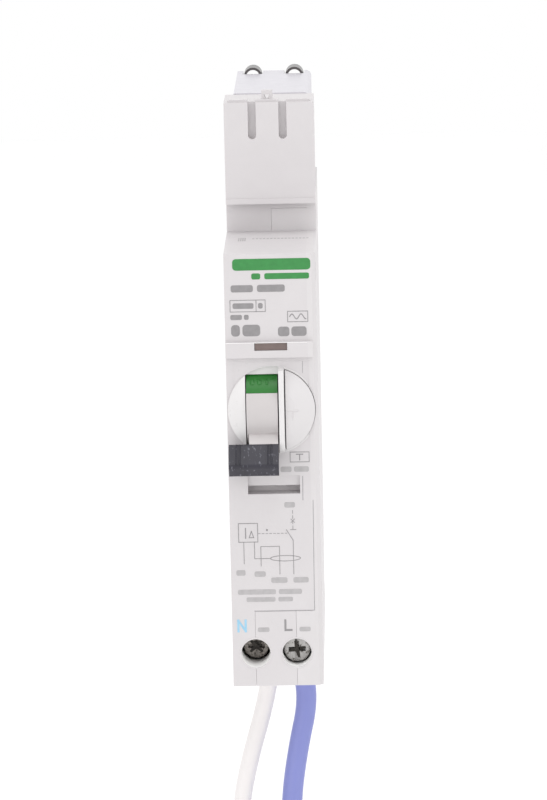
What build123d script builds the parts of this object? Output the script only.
from build123d import *
import math
import os

# Single-module residual current breaker (RCBO), millimetres.
# X runs across the module, -Y is the operator's side, +Z is up.
# The origin is the centre of the face that seats on the 35 mm rail.

# Case
SIDE = 9.0               # half the module width
COVER_X = 7.2            # parting plane between left shell and right cover
WALL = 1.3               # side wall of the left shell
FRONT = -69.0            # plane of the nose and lower face
FRONT_WALL = 1.6
BOTTOM = -64.8
NOSE_TOP = 22.5
BAND_Y = -41.0           # recessed band above the nose
BAND_TOP = 28.5
REAR = 0.0               # rail seat
BACK_WALL = 4.2
HEEL_Y = -8.0            # rear face below the rail clip
RAIL_HALF = 17.9         # half height of the rail slot
SEAT_HALF = 16.1         # half height of the land that touches the rail
SEAT_STEP = 0.4          # the case stands back from the rail above and below the land

# Line end
BOX_FRONT = -44.0
BOX_BACK = -31.0
BOX_TOP = 49.0
TOWER_LEFT = -7.3
TOWER_RIGHT = 8.2
TOWER_BACK = 5.5
TOWER_TOP = 49.2
JAW_X = (-4.0, 4.7)      # centre planes of the two busbar jaws

# Operating zone
PIVOT_Y = -64.0          # toggle axis
DISC_Z = -8.6            # centre height of the domed disc and toggle axis
DISC_R = 8.8
BUTTON_R = 8.4
DOME_R = 16.2            # sphere radius of the dome
DOME_HEIGHT = 3.0
SLOT_LEFT = -5.3
SLOT_RIGHT = 1.25
DRUM_R = 8.0
HANDLE_ANGLE = 225.0     # direction of the handle when off, from +Y towards +Z
BUTTON_LEFT = 2.6
BUTTON_GAP = 0.1         # clearance round the test button
BEZEL_LOW = (-7.5, -18.3)    # left and lower edge (X, Z) of the bezel's base plate
BEZEL_TOP = 1.1
BEZEL_GAP = 0.04
BEAD = (2.0, 5.1)        # heights between which the bead over the toggle runs
BEAD_PROUD = 1.0

# Mechanism
CAM = (-46.0, -4.0)      # (Y, Z) of the latch cam axis
CRANK = 4.2              # crank radius of drum and cam, equal so the link stays parallel
CRANK_ANGLE = 126.0
ARM = (-40.0, -12.0)     # (Y, Z) of the contact arm axis
ARM_LENGTH = 16.6
ARM_ANGLE = -65.0
ARM_CLOSED = -42.75
LEVER = (-54.0, 12.0)    # (Y, Z) of the trip lever axis
PIN_R = 0.9
PIN_GAP = 0.06           # radial running clearance

# Terminals
SCREW_X = (-4.4, 3.8)    # neutral, line
SCREW_Z = -58.1
HEAD_Y = (-63.0, -66.0)  # front of each screw head
BORE_R = 3.0
HEAD_R = 2.7
HEAD_LENGTH = 2.2
SHANK_R = 1.9
SHANK_LENGTH = 9.5
CARRIER_TOP = -49.5
CARRIER_FRONT = -57.0
CAGE_BACK = -44.9
ENTRY_R = 2.9
ENTRY_Y = -49.5

# Leads
BLUE_D = 4.3
WHITE_D = 3.7
BLUE_EXIT = (4.65, -24.0)
WHITE_EXIT = (-2.2, -24.0)

os.makedirs("parts", exist_ok=True)
volumes = {}


def save(builder, name):
    builder.part.label = name
    export_step(builder.part, f"parts/{name}.step")
    volumes[name] = builder.part.volume


def block(low, high, mode=Mode.ADD):
    size = Vector(*high) - Vector(*low)
    with Locations((Vector(*low) + Vector(*high)) / 2):
        Box(size.X, size.Y, size.Z, mode=mode)


def rod(start, end, radius, mode=Mode.ADD):
    axis = Vector(*end) - Vector(*start)
    with BuildSketch(Plane(origin=start, z_dir=axis)) as disc:
        Circle(radius)
    extrude(disc.sketch, amount=axis.length, mode=mode)


def slab(points, left, right, mode=Mode.ADD):
    """Extrude a (Y, Z) outline from X = left to X = right."""
    with BuildSketch(Plane.YZ.offset(left)) as outline:
        with BuildLine():
            Polyline(*points, close=True)
        make_face()
    extrude(outline.sketch, amount=right - left, mode=mode)


def disc_x(centre, radius, left, right, mode=Mode.ADD):
    rod((left, *centre), (right, *centre), radius, mode)


def polar(centre, radius, degrees):
    turn = math.radians(degrees)
    return centre[0] + radius * math.cos(turn), centre[1] + radius * math.sin(turn)


def bar(start, end, width, left, right, mode=Mode.ADD):
    """A straight bar in the (Y, Z) plane, extruded along X."""
    run = math.hypot(end[0] - start[0], end[1] - start[1])
    off_y = -(end[1] - start[1]) / run * width / 2
    off_z = (end[0] - start[0]) / run * width / 2
    corners = [
        (start[0] + off_y, start[1] + off_z),
        (end[0] + off_y, end[1] + off_z),
        (end[0] - off_y, end[1] - off_z),
        (start[0] - off_y, start[1] - off_z),
    ]
    slab(corners, left, right, mode)


OUTLINE = [
    (FRONT, BOTTOM),
    (FRONT, NOSE_TOP),
    (BAND_Y, NOSE_TOP),
    (BAND_Y, BAND_TOP),
    (5.0, BAND_TOP),
    (5.0, 22.0),
    (3.4, 16.4),
    (1.4, 16.4),
    (1.4, RAIL_HALF),
    (REAR - SEAT_STEP, RAIL_HALF),
    (REAR - SEAT_STEP, SEAT_HALF),
    (REAR, SEAT_HALF),
    (REAR, -SEAT_HALF),
    (REAR - SEAT_STEP, -SEAT_HALF),
    (REAR - SEAT_STEP, -46.0),
    (HEEL_Y, -54.0),
    (HEEL_Y, BOTTOM),
]
CAVITY = [
    (FRONT + FRONT_WALL, BOTTOM + 1.4),
    (FRONT + FRONT_WALL, NOSE_TOP - 1.4),
    (BAND_Y + 1.4, NOSE_TOP - 1.4),
    (BAND_Y + 1.4, BAND_TOP - 1.4),
    (-1.5, BAND_TOP - 1.4),
    (-1.5, 20.0),
    (-BACK_WALL, 17.0),
    (-BACK_WALL, -47.0),
    (HEEL_Y - 1.6, -53.5),
    (HEEL_Y - 1.6, BOTTOM + 1.4),
]
RIVETS = [(-64.6, 18.4), (-64.4, -45.2), (-12.6, -59.6), (-7.2, 13.0), (-36.6, 24.4)]
RIVET_R = 1.0
RIVET_HEAD_R = 1.8
BOSS_R = 2.0
PIN_AXES = [(PIVOT_Y, DISC_Z), CAM, ARM]

# ---- Case ----------------------------------------------------------------

WINDOW = ((-3.3, 3.45), (3.15, 5.05))    # (X, Z) corners of the indicator window
RECESS = ((-5.2, -25.6), (5.1, -21.9))   # (X, Z) corners of the label recess
RECESS_SLOT_TOP = -24.0

with BuildPart() as left_shell:
    slab(OUTLINE, -SIDE, COVER_X)
    slab(CAVITY, -SIDE + WALL, COVER_X, Mode.SUBTRACT)
    block((-SIDE, FRONT - BEAD_PROUD, BEAD[0]), (COVER_X, FRONT, BEAD[1]))
    block((-6.2, FRONT + FRONT_WALL, -27.0), (6.1, FRONT + 4.8, -20.4))
    block((-SIDE, FRONT, BOTTOM), (SCREW_X[0], CARRIER_FRONT - 0.1, CARRIER_TOP))
    for rivet in RIVETS:
        disc_x(rivet, BOSS_R, -SIDE + WALL, COVER_X)
    for pin in PIN_AXES + [LEVER]:
        disc_x(pin, 2.0, -SIDE + WALL, -6.7)
    for rivet in RIVETS:
        disc_x(rivet, RIVET_R, -SIDE, COVER_X, Mode.SUBTRACT)
        disc_x(rivet, RIVET_HEAD_R + 0.1, -SIDE, -SIDE + 0.7, Mode.SUBTRACT)
    for pin in PIN_AXES + [LEVER]:
        disc_x(pin, PIN_R, -SIDE + WALL, -6.7, Mode.SUBTRACT)
    # Opening for the bezel
    block(
        (BEZEL_LOW[0] - BEZEL_GAP, FRONT - 2, BEZEL_LOW[1] - BEZEL_GAP),
        (COVER_X + 1, FRONT + 2.4, BEZEL_TOP + BEZEL_GAP),
        Mode.SUBTRACT,
    )
    block(
        (WINDOW[0][0], FRONT - 2, WINDOW[0][1]),
        (WINDOW[1][0], FRONT + 3, WINDOW[1][1]),
        Mode.SUBTRACT,
    )
    slab(
        [
            (FRONT, RECESS[1][1]),
            (FRONT - 1, RECESS[1][1]),
            (FRONT - 1, RECESS[0][1]),
            (FRONT + 3.4, RECESS[0][1]),
            (FRONT + 3.4, RECESS_SLOT_TOP),
            (FRONT + 0.8, RECESS_SLOT_TOP),
            (FRONT + 0.5, RECESS[1][1]),
        ],
        RECESS[0][0],
        RECESS[1][0],
        Mode.SUBTRACT,
    )
    # Seat of the terminal carrier
    block(
        (SCREW_X[0], FRONT - 1, BOTTOM - 1),
        (COVER_X + 1, CARRIER_FRONT, CARRIER_TOP),
        Mode.SUBTRACT,
    )
    block((-7.7, CARRIER_FRONT - 0.1, BOTTOM - 1), (8, -35.9, BOTTOM + 1.5), Mode.SUBTRACT)
    rod(
        (SCREW_X[0], FRONT - 1, SCREW_Z),
        (SCREW_X[0], CARRIER_FRONT, SCREW_Z),
        BORE_R,
        Mode.SUBTRACT,
    )
    # Lead exits, clip channel, opening to the line end, band left of centre only
    rod((*BLUE_EXIT, BOTTOM - 1), (*BLUE_EXIT, BOTTOM + 2), BLUE_D / 2 + 0.15, Mode.SUBTRACT)
    rod((*WHITE_EXIT, BOTTOM - 1), (*WHITE_EXIT, BOTTOM + 2), WHITE_D / 2 + 0.15, Mode.SUBTRACT)
    block((-4.0, -2.7, -50.0), (4.0, 1.0, -18.6), Mode.SUBTRACT)
    block((-5.0, -26.0, BAND_TOP - 2), (6.0, -6.0, BAND_TOP + 1), Mode.SUBTRACT)
    block((0, BAND_Y - 1, NOSE_TOP), (COVER_X, BAND_Y + 1.4, BAND_TOP - 1.4), Mode.SUBTRACT)
save(left_shell, "left_shell")

with BuildPart() as right_cover:
    slab(OUTLINE, COVER_X, SIDE)
    front_edge = right_cover.edges().filter_by(Axis.Z).filter_by_position(Axis.X, SIDE, SIDE)
    chamfer(front_edge.sort_by(Axis.Y)[0], 0.8)
    block((COVER_X, FRONT - BEAD_PROUD, BEAD[0]), (COVER_X + 1.0, FRONT + 1.0, BEAD[1]))
    block((0.04, BAND_Y, NOSE_TOP), (COVER_X, BAND_Y + 1.36, BAND_TOP - 1.44))
    block((SCREW_X[1], FRONT, BOTTOM), (COVER_X, CARRIER_FRONT - 0.1, CARRIER_TOP - 0.04))
    rod(
        (SCREW_X[1], FRONT - 1, SCREW_Z),
        (SCREW_X[1], CARRIER_FRONT, SCREW_Z),
        BORE_R,
        Mode.SUBTRACT,
    )
    rod((0, FRONT - 2, DISC_Z), (0, FRONT + 4.2, DISC_Z), BUTTON_R + BUTTON_GAP, Mode.SUBTRACT)
    for rivet in RIVETS:
        disc_x(rivet, RIVET_R, COVER_X, SIDE, Mode.SUBTRACT)
        disc_x(rivet, RIVET_HEAD_R + 0.1, SIDE - 0.7, SIDE, Mode.SUBTRACT)
save(right_cover, "right_cover")

with BuildPart() as case_rivets:
    for rivet in RIVETS:
        disc_x(rivet, RIVET_R - 0.03, -SIDE + 0.05, SIDE - 0.05)
        disc_x(rivet, RIVET_HEAD_R, -SIDE + 0.05, -SIDE + 0.65)
        disc_x(rivet, RIVET_HEAD_R, SIDE - 0.65, SIDE - 0.05)
save(case_rivets, "case_rivets")

with BuildPart() as terminal_carrier:
    block((SCREW_X[0] + 0.04, FRONT, BOTTOM), (SCREW_X[1] - 0.04, CARRIER_FRONT, CARRIER_TOP - 0.04))
    block((-7.6, CARRIER_FRONT, BOTTOM), (7.1, -36.0, CARRIER_TOP - 0.04))
    for x in SCREW_X:
        block((x - 3.0, CARRIER_FRONT, -62.5), (x + 3.0, CAGE_BACK + 0.1, -52.9), Mode.SUBTRACT)
        rod((x, FRONT - 1, SCREW_Z), (x, CARRIER_FRONT + 1, SCREW_Z), BORE_R, Mode.SUBTRACT)
        rod((x, ENTRY_Y, BOTTOM - 1), (x, ENTRY_Y, -62.0), ENTRY_R, Mode.SUBTRACT)
    block((-6.0, -43.4, -62.8), (5.6, -37.4, CARRIER_TOP + 1), Mode.SUBTRACT)
save(terminal_carrier, "terminal_carrier")

with BuildPart() as line_end_cover:
    block((-SIDE, BOX_FRONT, BAND_TOP), (SIDE, BOX_BACK, BOX_TOP))
    block((-SIDE + 1.4, BOX_FRONT + 2.2, BAND_TOP - 1), (SIDE - 1.4, BOX_BACK, BOX_TOP - 1.4), Mode.SUBTRACT)
    for x in (-3.4, 2.75):
        with BuildSketch(Plane.XZ.offset(-BOX_FRONT)) as slot:
            with Locations((x, BOX_TOP - 3.3)):
                Rectangle(1.6, 6.7)
            with Locations((x, BOX_TOP - 6.6)):
                Circle(0.8)
        extrude(slot.sketch, amount=-1.5, mode=Mode.SUBTRACT)
    block((-3.4 + 0.8, BOX_FRONT + 0.8, BOX_TOP), (2.75 - 0.8, BOX_FRONT + 2.6, BOX_TOP + 0.5))
    block((-8.2, BOX_FRONT + 0.8, BOX_TOP), (-3.4 - 0.8, BOX_FRONT + 2.6, BOX_TOP + 0.5))
    block((2.75 + 0.8, BOX_FRONT + 0.8, BOX_TOP), (8.2, BOX_FRONT + 2.6, BOX_TOP + 0.5))
    with BuildSketch(Plane.XZ.offset(-(BOX_FRONT + 3.4))) as lug:
        with Locations((-0.3, BOX_TOP + 1.0)):
            Rectangle(2.2, 2.4)
        with Locations((-0.3, BOX_TOP + 0.95)):
            RegularPolygon(0.75, 3, rotation=30, mode=Mode.SUBTRACT)
    extrude(lug.sketch, amount=1.4)
    block((-SIDE, BOX_FRONT - 0.25, BAND_TOP), (SIDE, BOX_FRONT, BAND_TOP + 1.1))
save(line_end_cover, "line_end_cover")

with BuildPart() as jaw_housing:
    block((TOWER_LEFT, BOX_BACK + 0.05, BAND_TOP), (TOWER_RIGHT, TOWER_BACK, TOWER_TOP))
    edges = jaw_housing.edges().filter_by(Axis.Y).group_by(Axis.Z)[-1].sort_by(Axis.X)
    fillet(edges[-1], 1.2)
    block(
        (TOWER_LEFT + 1.3, BOX_BACK - 1, BAND_TOP - 1),
        (TOWER_RIGHT - 1.3, TOWER_BACK - 1.6, TOWER_TOP - 1.3),
        Mode.SUBTRACT,
    )
    for x in JAW_X:
        block((x - 2.1, 0, 31.0), (x + 2.1, TOWER_BACK + 1, TOWER_TOP + 1), Mode.SUBTRACT)
save(jaw_housing, "jaw_housing")

# ---- Operating face --------------------------------------------------------

with BuildPart() as dome:
    with Locations((0, FRONT - DOME_HEIGHT + DOME_R, DISC_Z)):
        Sphere(DOME_R)
    rod((0, FRONT - 5, DISC_Z), (0, FRONT, DISC_Z), DISC_R, Mode.INTERSECT)

with BuildPart() as toggle_bezel:
    add(dome.part)
    block((SLOT_LEFT, FRONT - 5, -20), (SIDE + 1, FRONT, 2), Mode.SUBTRACT)
    block(
        (BEZEL_LOW[0], FRONT, BEZEL_LOW[1]),
        (COVER_X - BEZEL_GAP, FRONT + 1.6, BEZEL_TOP),
    )
    block((1.3, FRONT - 3.2, -16.2), (2.35, FRONT, -0.2))
    with BuildSketch(Plane.XZ.offset(-FRONT)) as channel:
        with Locations((0, DISC_Z)):
            Circle(DISC_R)
        with Locations(((SLOT_LEFT + SLOT_RIGHT) / 2, DISC_Z)):
            Rectangle(SLOT_RIGHT - SLOT_LEFT, 3 * DISC_R, mode=Mode.INTERSECT)
    extrude(channel.sketch, amount=-0.7, mode=Mode.SUBTRACT)
    disc_x((PIVOT_Y, DISC_Z), DRUM_R + 0.25, SLOT_LEFT, SLOT_RIGHT, Mode.SUBTRACT)
    with BuildSketch(Plane.XZ.offset(-(FRONT - 1))) as pocket:
        with Locations((0, DISC_Z)):
            Circle(BUTTON_R + BUTTON_GAP)
        with Locations((BUTTON_LEFT - BUTTON_GAP + 10, DISC_Z)):
            Rectangle(20, 20, mode=Mode.INTERSECT)
    extrude(pocket.sketch, amount=-5, mode=Mode.SUBTRACT)
save(toggle_bezel, "toggle_bezel")

with BuildPart() as test_button:
    add(dome.part)
    rod((0, FRONT - 5, DISC_Z), (0, FRONT + 2.2, DISC_Z), BUTTON_R, Mode.INTERSECT)
    rod((0, FRONT, DISC_Z), (0, FRONT + 2.2, DISC_Z), BUTTON_R)
    block((BUTTON_LEFT - 30, FRONT - 9, -40), (BUTTON_LEFT, FRONT + 9, 40), Mode.SUBTRACT)
    rod((0, FRONT - 5, DISC_Z), (0, FRONT - 2.35, DISC_Z), 5.1, Mode.SUBTRACT)
    block((3.4, FRONT + 2.2, DISC_Z - 2), (5.4, FRONT + 7.5, DISC_Z + 2))
save(test_button, "test_button")

with BuildPart() as window_lens:
    block(
        (WINDOW[0][0] + 0.05, FRONT - 0.7, WINDOW[0][1] + 0.05),
        (WINDOW[1][0] - 0.05, FRONT + 0.4, WINDOW[1][1] - 0.05),
    )
save(window_lens, "window_lens")

TOGGLE = (PIVOT_Y, DISC_Z)
with BuildPart() as toggle_drum:
    disc_x(TOGGLE, DRUM_R, SLOT_LEFT + 0.2, SLOT_RIGHT - 0.2)
    disc_x(TOGGLE, PIN_R + PIN_GAP, -9, 9, Mode.SUBTRACT)
    # Root web of the handle
    bar(
        polar(TOGGLE, 7.0, HANDLE_ANGLE),
        polar(TOGGLE, 10.6, HANDLE_ANGLE),
        3.0,
        SLOT_LEFT + 0.6,
        SLOT_RIGHT - 0.25,
    )
    disc_x(polar(TOGGLE, CRANK, CRANK_ANGLE), 0.66, SLOT_LEFT, -3.6, Mode.SUBTRACT)
    # Seat of the green marker
    with BuildSketch(Plane.YZ.offset(SLOT_LEFT - 1)) as seat:
        with Locations(TOGGLE):
            Circle(DRUM_R + 1)
            Circle(DRUM_R - 1.0, mode=Mode.SUBTRACT)
        with BuildLine():
            Polyline(TOGGLE, polar(TOGGLE, 14, 118), polar(TOGGLE, 14, 152), close=True)
        make_face(mode=Mode.INTERSECT)
    extrude(seat.sketch, amount=12, mode=Mode.SUBTRACT)
save(toggle_drum, "toggle_drum")

with BuildPart() as off_marker:
    with BuildSketch(Plane.YZ.offset(SLOT_LEFT + 0.2)) as arc:
        with Locations(TOGGLE):
            Circle(DRUM_R)
            Circle(DRUM_R - 1.0, mode=Mode.SUBTRACT)
        with BuildLine():
            Polyline(TOGGLE, polar(TOGGLE, 14, 118.3), polar(TOGGLE, 14, 151.7), close=True)
        make_face(mode=Mode.INTERSECT)
    extrude(arc.sketch, amount=SLOT_RIGHT - SLOT_LEFT - 0.4)
save(off_marker, "off_marker")

with BuildPart() as toggle_handle:
    bar(polar(TOGGLE, 10.2, HANDLE_ANGLE), polar(TOGGLE, 15.8, HANDLE_ANGLE), 3.8, -8.7, 1.1)
    along = toggle_handle.edges().filter_by(Axis.X)
    fillet(along, 0.7)
    bar(
        polar(TOGGLE, 9.0, HANDLE_ANGLE),
        polar(TOGGLE, 10.65, HANDLE_ANGLE),
        3.06,
        SLOT_LEFT + 0.57,
        SLOT_RIGHT - 0.22,
        Mode.SUBTRACT,
    )
save(toggle_handle, "toggle_handle")

# ---- Switching mechanism ---------------------------------------------------

with BuildPart() as pivot_pins:
    for pin in PIN_AXES:
        disc_x(pin, PIN_R, -7.6, 1.9)
    disc_x(LEVER, PIN_R, -7.6, 5.2)
save(pivot_pins, "pivot_pins")

with BuildPart() as mechanism_plate:
    slab([(-66.2, -12), (-66.2, -5), (-58, 4), (-44, 4), (-36, -4), (-36, -15)], 1.3, 1.9)
    for pin in PIN_AXES:
        disc_x(pin, PIN_R, 1.0, 2.2, Mode.SUBTRACT)
save(mechanism_plate, "mechanism_plate")

LINK_DRUM = polar(TOGGLE, CRANK, CRANK_ANGLE)
LINK_CAM = polar(CAM, CRANK, CRANK_ANGLE)
with BuildPart() as toggle_link:
    bar(LINK_DRUM, LINK_CAM, 1.0, -6.5, -5.8)
    for end in (LINK_DRUM, LINK_CAM):
        disc_x(end, 0.75, -6.5, -5.8)
        disc_x(end, 0.6, -5.8, -3.9)
save(toggle_link, "toggle_link")

with BuildPart() as latch_cam:
    disc_x(CAM, 2.4, -5.1, -4.0)
    bar(CAM, LINK_CAM, 2.6, -5.1, -4.0)
    disc_x(LINK_CAM, 1.4, -5.1, -4.0)
    bar(CAM, polar(CAM, 5.0, CRANK_ANGLE + 120), 2.0, -5.1, -4.0)
    disc_x(CAM, PIN_R + PIN_GAP, -6, 0, Mode.SUBTRACT)
    disc_x(LINK_CAM, 0.66, -6, 0, Mode.SUBTRACT)
save(latch_cam, "latch_cam")

ARM_TIP = polar(ARM, ARM_LENGTH, ARM_ANGLE)
REST_SIDE = ARM_ANGLE + 90
with BuildPart() as contact_arm:
    bar(ARM, ARM_TIP, 2.4, -3.4, -2.0)
    disc_x(ARM, 2.2, -3.4, -2.0)
    bar(ARM, polar(ARM, 5.0, ARM_ANGLE + 165), 2.0, -3.4, -2.0)
    disc_x(ARM, PIN_R + PIN_GAP, -5, 0, Mode.SUBTRACT)
save(contact_arm, "contact_arm")

with BuildPart() as moving_contact:
    seat_point = polar(polar(ARM, 15.0, ARM_ANGLE), 1.2, REST_SIDE)
    bar(seat_point, polar(seat_point, 0.8, REST_SIDE), 2.6, -3.6, -1.8)
save(moving_contact, "moving_contact")

CLOSED_SIDE = ARM_CLOSED + 90
touch = polar(polar(ARM, 15.0, ARM_CLOSED), 2.08, CLOSED_SIDE)
with BuildPart() as fixed_contact:
    bar(touch, polar(touch, 0.8, CLOSED_SIDE), 2.6, -3.6, -1.8)
    back = polar(touch, 1.5, CLOSED_SIDE)
    bar(polar(back, 3.0, ARM_CLOSED + 180), polar(back, 5.0, ARM_CLOSED), 1.4, -3.9, -1.5)
save(fixed_contact, "fixed_contact")

with BuildPart() as contact_spring:
    rod((-5.7, -41.5, -20.5), (-5.7, -33.0, -17.0), 1.1)
save(contact_spring, "contact_spring")

with BuildPart() as trip_lever:
    disc_x(LEVER, 1.8, -2.0, 4.2)
    bar(LEVER, (-64.0, 9.2), 1.8, -2.0, 0.0)
    bar(LEVER, (-38.6, 7.6), 1.8, -2.0, 0.0)
    block((-2.0, -38.6, 3.4), (0.0, -37.4, 8.5))
    bar(LEVER, (-52.0, 7.0), 1.4, 2.4, 4.2)
    disc_x(LEVER, PIN_R + PIN_GAP, -3, 6, Mode.SUBTRACT)
save(trip_lever, "trip_lever")

with BuildPart() as trip_flag:
    block((-3.4, -67.0, 0.7), (3.3, -66.4, 7.2))
    block((-2.2, -66.4, 6.4), (0.2, -64.6, 7.2))
save(trip_flag, "trip_flag")

COIL_X, COIL_Z = -1.8, 6.0
with BuildPart() as coil_bobbin:
    rod((COIL_X, -31.0, COIL_Z), (COIL_X, -17.0, COIL_Z), 2.6)
    for y in (-31.0, -18.0):
        rod((COIL_X, y, COIL_Z), (COIL_X, y + 1.0, COIL_Z), 5.0)
    rod((COIL_X, -32.0, COIL_Z), (COIL_X, -16.0, COIL_Z), 1.7, Mode.SUBTRACT)
save(coil_bobbin, "coil_bobbin")

with BuildPart() as coil_winding:
    rod((COIL_X, -29.9, COIL_Z), (COIL_X, -18.1, COIL_Z), 4.6)
    rod((COIL_X, -32.0, COIL_Z), (COIL_X, -16.0, COIL_Z), 2.7, Mode.SUBTRACT)
save(coil_winding, "coil_winding")

with BuildPart() as coil_yoke:
    block((-5.4, -32.4, 11.2), (1.8, -14.6, 12.4))
    block((-5.4, -32.4, 1.0), (1.8, -31.2, 12.4))
    block((-5.4, -15.8, 1.0), (1.8, -14.6, 12.4))
    rod((COIL_X, -33.0, COIL_Z), (COIL_X, -31.0, COIL_Z), 1.5, Mode.SUBTRACT)
save(coil_yoke, "coil_yoke")

with BuildPart() as coil_core:
    rod((COIL_X, -21.5, COIL_Z), (COIL_X, -15.8, COIL_Z), 1.6)
save(coil_core, "coil_core")

with BuildPart() as trip_plunger:
    rod((COIL_X, -28.5, COIL_Z), (COIL_X, -22.4, COIL_Z), 1.6)
    rod((COIL_X, -37.0, COIL_Z), (COIL_X, -28.5, COIL_Z), 0.8)
save(trip_plunger, "trip_plunger")

with BuildPart() as bimetal:
    bar((-10.0, -22.0), (-13.0, 2.0), 0.9, -6.8, -3.6)
    bar((-10.0, -22.0), (-10.0, -26.0), 1.6, -6.8, -3.6)
save(bimetal, "bimetal")

ARC_PLATES = 8
with BuildPart() as arc_plates:
    for index in range(ARC_PLATES):
        z = -45.4 + 2.1 * index
        block((-6.0, -27.0, z), (0.6, -10.0, z + 0.8))
        block((-3.6, -28.0, z - 1), (-1.8, -22.5, z + 2), Mode.SUBTRACT)
save(arc_plates, "arc_plates")

with BuildPart() as arc_walls:
    for x in (-7.3, 0.7):
        block((x, -28.0, -46.2), (x + 1.2, -9.0, -29.4))
save(arc_walls, "arc_walls")

with BuildPart() as arc_runner:
    bar((-33.5, -31.0), (-31.0, -47.6), 0.8, -4.6, -0.6)
    bar((-31.2, -47.4), (-11.0, -47.4), 0.8, -4.6, -0.6)
save(arc_runner, "arc_runner")

# ---- Electronics -----------------------------------------------------------

with BuildPart() as circuit_board:
    slab([(-50, -38), (-50, 18), (-12, 18), (-12, -36), (-36, -36), (-36, -38)], 5.7, 6.7)
save(circuit_board, "circuit_board")

with BuildPart() as board_components:
    block((3.9, -30.0, -12.0), (5.7, -24.0, -2.0))
    block((4.3, -20.0, -30.0), (5.7, -15.0, -25.0))
    rod((2.6, -44.0, -28.0), (5.7, -44.0, -28.0), 3.0)
    rod((2.6, -34.0, -28.5), (5.7, -34.0, -28.5), 2.6)
    block((2.8, -22.0, -4.0), (5.7, -15.0, -1.0))
    rod((4.3, -48.0, 13.6), (4.3, -38.0, 13.6), 1.3)
    for index in range(5):
        block((4.9, -46.0 + 4.2 * index, -19.0), (5.7, -44.0 + 4.2 * index, -17.8))
save(board_components, "board_components")

with BuildPart() as trip_relay:
    block((2.3, -48.0, 4.0), (5.6, -36.0, 12.0))
    rod((3.4, -49.2, 7.2), (3.4, -48.0, 7.2), 1.3)
    rod((3.4, -50.0, 7.2), (3.4, -44.0, 7.2), 0.75, Mode.SUBTRACT)
save(trip_relay, "trip_relay")

with BuildPart() as relay_plunger:
    rod((3.4, -50.6, 7.2), (3.4, -45.0, 7.2), 0.7)
save(relay_plunger, "relay_plunger")

with BuildPart() as test_contact:
    block((3.4, -60.2, -15.0), (5.4, -59.8, -4.0))
    block((3.4, -60.2, -15.4), (5.4, -50.1, -15.0))
save(test_contact, "test_contact")

with BuildPart() as sensing_toroid:
    rod((0, -44.0, -47.0), (0, -44.0, -40.6), 6.3)
    rod((0, -44.0, -48.0), (0, -44.0, -40.0), 3.0, Mode.SUBTRACT)
save(sensing_toroid, "sensing_toroid")

# ---- Conductors ------------------------------------------------------------

with BuildPart() as busbar_jaws:
    for x in JAW_X:
        for side in (-1, 1):
            block((x + side * 0.95 - 0.4, -10.0, 33.0), (x + side * 0.95 + 0.4, 6.6, 46.0))
        block((x - 1.35, -10.8, 33.0), (x + 1.35, -10.0, 46.0))
save(busbar_jaws, "busbar_jaws")

with BuildPart() as jaw_springs:
    for x in JAW_X:
        for side in (-1, 1):
            block((x + side * 1.65 - 0.25, 0.3, 36.0), (x + side * 1.65 + 0.25, 5.4, 48.6))
        rod((x, 0.3, 48.6), (x, 5.4, 48.6), 1.9)
        rod((x, -5.0, 48.6), (x, 6.4, 48.6), 1.4, Mode.SUBTRACT)
        block((x - 1.45, -5.0, 40.0), (x + 1.45, 6.4, 48.7), Mode.SUBTRACT)
save(jaw_springs, "jaw_springs")

with BuildPart() as line_conductor:
    block((JAW_X[0] - 1.3, -12.0, 34.0), (JAW_X[1] + 1.3, -10.85, 36.5))
    block((-1.5, -12.0, 13.5), (1.5, -10.85, 34.0))
    block((-1.5, -14.5, 13.5), (1.5, -12.0, 14.6))
save(line_conductor, "line_conductor")

with BuildPart() as load_conductor:
    rod((1.2, -44.0, -49.4), (1.2, -44.0, -36.5), 1.1)
    rod((1.2, -44.0, -36.5), (1.2, -36.0, -33.6), 1.1)
    with Locations((1.2, -44.0, -36.5)):
        Sphere(1.1)
save(load_conductor, "load_conductor")

with BuildPart() as neutral_conductor:
    rod((-1.4, -44.0, -49.4), (-1.4, -44.0, -36.5), 1.1)
    rod((-1.4, -44.0, -36.5), (-1.4, -52.0, -33.0), 1.1)
    with Locations((-1.4, -44.0, -36.5)):
        Sphere(1.1)
save(neutral_conductor, "neutral_conductor")

# ---- Terminals -------------------------------------------------------------

for name, x, head_y in zip(("neutral", "line"), SCREW_X, HEAD_Y):
    shank_end = head_y + HEAD_LENGTH + SHANK_LENGTH
    with BuildPart() as cage:
        block((x - 2.9, CARRIER_FRONT + 0.05, -62.4), (x + 2.9, CAGE_BACK, -53.0))
        block((x - 2.15, CARRIER_FRONT + 1.4, -63), (x + 2.15, CAGE_BACK - 0.7, -52), Mode.SUBTRACT)
        rod(
            (x, CARRIER_FRONT - 1, SCREW_Z),
            (x, CARRIER_FRONT + 2, SCREW_Z),
            SHANK_R + PIN_GAP,
            Mode.SUBTRACT,
        )
    save(cage, f"{name}_cage")

    with BuildPart() as screw:
        rod((x, head_y, SCREW_Z), (x, head_y + HEAD_LENGTH, SCREW_Z), HEAD_R)
        fillet(screw.faces().sort_by(Axis.Y)[0].edges(), 0.4)
        rod((x, head_y + HEAD_LENGTH, SCREW_Z), (x, shank_end, SCREW_Z), SHANK_R)
        block((x - 0.45, head_y - 1, SCREW_Z - 3), (x + 0.45, head_y + 0.9, SCREW_Z + 3), Mode.SUBTRACT)
        block((x - 1.7, head_y - 1, SCREW_Z - 0.45), (x + 1.7, head_y + 1.3, SCREW_Z + 0.45), Mode.SUBTRACT)
    save(screw, f"{name}_screw")

    with BuildPart() as pad:
        block((x - 2.05, shank_end + 0.05, SCREW_Z - 3.4), (x + 2.05, shank_end + 1.0, SCREW_Z + 3.4))
    save(pad, f"{name}_pad")

# ---- Rail clip -------------------------------------------------------------

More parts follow.
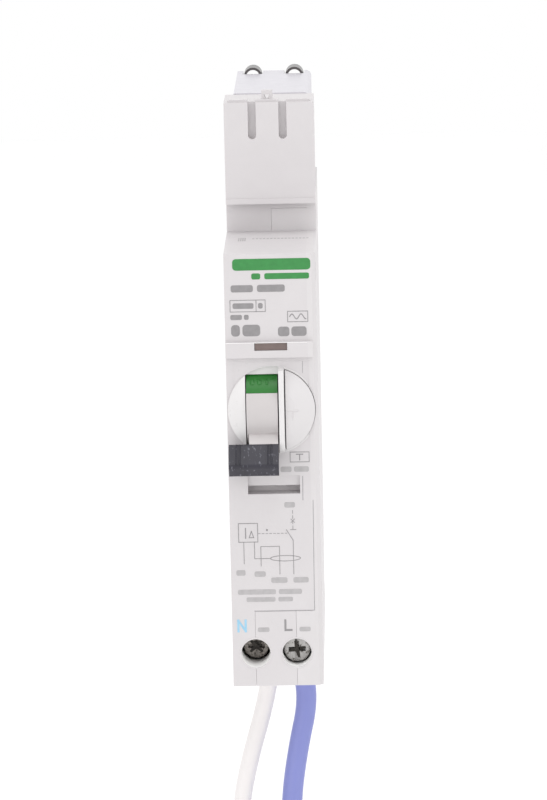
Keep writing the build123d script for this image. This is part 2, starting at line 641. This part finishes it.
with BuildPart() as rail_clip:
    block((-3.85, -2.5, -42.0), (3.85, -0.1, -21.2))
    hook = [
        (-2.5, -21.3),
        (-2.5, -19.6),
        (1.4, -19.6),
        (1.4, -16.4),
        (3.2, -16.4),
        (3.8, -18.6),
        (3.2, -21.3),
    ]
    slab(hook, -3.85, 3.85)
    block((-3.0, -2.5, -52.0), (3.0, -0.6, -42.0))
    block((-1.6, -3.5, -50.6), (1.6, 0.5, -48.6), Mode.SUBTRACT)
save(rail_clip, "rail_clip")

# ---- Leads -----------------------------------------------------------------

COIL_TURNS = 4
COIL_Y = -17.0           # keeps the coils clear of the way into the cable entries
BLUE_RING = 24.0         # mean radius of the blue coil
WHITE_RING = 21.5
BLUE_ROUTE = [
    (4.65, -24.0, -63.2),
    (5.1, -24.1, -72.0),
    (4.9, -24.8, -80.0),
    (2.9, -27.2, -90.0),
    (1.6, -31.0, -101.0),
    (1.7, -36.6, -113.5),
    (2.2, -41.0, -126.0),
    (2.45, -42.8, -136.0),
    (2.45, -43.15, -147.0),
]
WHITE_ROUTE = [
    (-2.2, -24.0, -63.2),
    (-2.3, -24.1, -69.0),
    (-5.2, -25.0, -80.5),
    (-8.0, -27.6, -91.0),
    (-9.3, -31.0, -101.5),
    (-8.7, -35.2, -112.5),
    (-7.2, -38.6, -124.0),
    (-6.25, -40.2, -135.0),
    (-6.25, -40.35, -145.0),
]
# The inner end lies against the inside of the turns: (degrees past the front, inset from that layer)
TUCK = [(-50, 0.0), (-25, 0.0), (0, 0.1), (22, 0.5), (43, 1.5), (63, 3.2)]
COLLAR_LENGTH = 5.0
FERRULE_LENGTH = 12.0    # from the end of the insulation


def route_radii(points):
    """Radius of each corner: 0.45 of the shorter run over the tangent of half the turn."""
    radii = []
    for before, here, after in zip(points, points[1:], points[2:]):
        run_in = Vector(*here) - Vector(*before)
        run_out = Vector(*after) - Vector(*here)
        half_turn = math.radians(run_in.get_angle(run_out)) / 2
        radii.append(0.45 * min(run_in.length, run_out.length) / math.tan(half_turn))
    return radii


def make_tube(name, route, diameter):
    radii = route_radii(route)
    with BuildPart() as tube:
        with BuildLine() as path:
            FilletPolyline(*route, radius=radii)
        start = Vector(*route[1]) - Vector(*route[0])
        with BuildSketch(Plane(origin=route[0], z_dir=start)):
            Circle(diameter / 2)
        sweep(path=path.line)
    save(tube, name)
    length = sum(edge.length for edge in path.edges())
    ratio = tube.part.volume / (math.pi * diameter**2 / 4 * length)
    print(name, "length", round(length, 1), "radii", [round(r) for r in radii], round(ratio, 4))
    return length


def make_lead(name, route, diameter, ring, coil_x):
    middle = (coil_x, COIL_Y, route[-1][2])
    inner_layer = ring - 1.5 * diameter - 0.1
    tail = []
    for degrees, inset in TUCK:
        y, z = polar(middle[1:], inner_layer - inset, 180 + degrees)
        tail.append((coil_x, y, z))
    total = make_tube(f"{name}_lead", route, diameter) + make_tube(f"{name}_tail", tail, diameter)
    print(name, "whole lead", round(total + COIL_TURNS * math.tau * ring, 1), "coil centre", middle)

    with BuildPart() as coil:
        with BuildSketch(Plane(origin=middle, x_dir=(0, 1, 0), z_dir=(1, 0, 0))):
            Circle(ring + diameter)
            Circle(ring - diameter, mode=Mode.SUBTRACT)
        extrude(amount=diameter, both=True)
        fillet(coil.edges().filter_by(GeomType.CIRCLE), diameter * 0.4)
    save(coil, f"{name}_coil")

    onward = (Vector(*tail[-1]) - Vector(*tail[-2])).normalized()
    end = Vector(*tail[-1])
    with BuildPart() as collar:
        rod(end - onward * 1.0, end + onward * (COLLAR_LENGTH - 1.0), diameter / 2 + 0.45)
        rod(end - onward * 2.0, end, diameter / 2, Mode.SUBTRACT)
        rod(end, end + onward * COLLAR_LENGTH, diameter / 2 - 0.7, Mode.SUBTRACT)
    save(collar, f"{name}_collar")
    with BuildPart() as ferrule:
        rod(end + onward * 0.05, end + onward * FERRULE_LENGTH, diameter / 2 - 0.72)
    save(ferrule, f"{name}_ferrule")

    # Tie round the turns at the back of the coil
    low = Vector(coil_x - diameter - 0.1, COIL_Y + ring - diameter - 0.1, middle[2] - 1.8)
    high = Vector(coil_x + diameter + 0.1, COIL_Y + ring + diameter + 0.1, middle[2] + 1.8)
    with BuildPart() as tie:
        block(low - Vector(0.4, 0.4, 0), high + Vector(0.4, 0.4, 0))
        block(low - Vector(0, 0, 1), high + Vector(0, 0, 1), Mode.SUBTRACT)
    return tie


blue_tie = make_lead("neutral", BLUE_ROUTE, BLUE_D, BLUE_RING, 4.6)
white_tie = make_lead("earth", WHITE_ROUTE, WHITE_D, WHITE_RING, -4.4)
with BuildPart() as coil_ties:
    add(blue_tie.part)
    add(white_tie.part)
save(coil_ties, "coil_ties")

print(len(volumes), "nodes")
